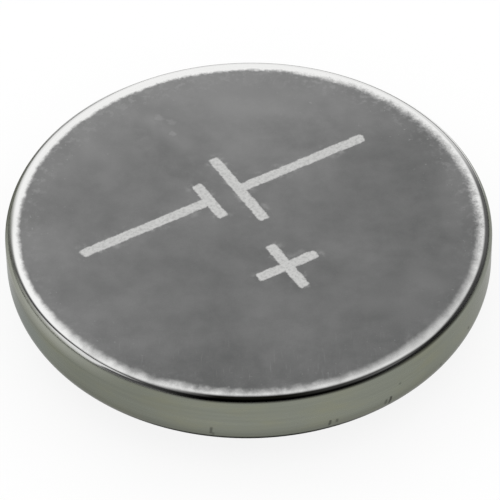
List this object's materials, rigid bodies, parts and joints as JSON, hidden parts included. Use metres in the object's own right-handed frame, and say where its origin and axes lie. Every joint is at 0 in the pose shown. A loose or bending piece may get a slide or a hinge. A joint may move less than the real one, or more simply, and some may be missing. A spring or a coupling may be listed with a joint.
{
  "type": "lithium coin cell",
  "caption": "Flat round primary cell: drawn can with a satin positive face, lip crimped over a gasket, and a narrower negative cap below.",
  "frame": {"origin": "centre of the negative face, on the surface that the cell rests on", "axes": "+Z along the cell's axis, out of the positive face; X and Y are any two directions across it"},
  "size_m": [0.0244, 0.0244, 0.005],
  "materials": {
    "positive_can": "satin face, polished shoulder, bright drawn wall",
    "negative_cap": "bright drawn sheet",
    "sealing_gasket": "moulded polypropylene",
    "cathode_pellet": "pressed powder",
    "collector_ring": "plain sheet",
    "separator": "non-woven",
    "lithium_disc": "soft metal foil"
  },
  "bodies": {
    "root": {"positive_can": "positive_can", "negative_cap": "negative_cap", "sealing_gasket": "sealing_gasket", "cathode_pellet": "cathode_pellet", "collector_ring": "collector_ring", "separator": "separator", "lithium_disc": "lithium_disc"}
  },
  "joints": []
}
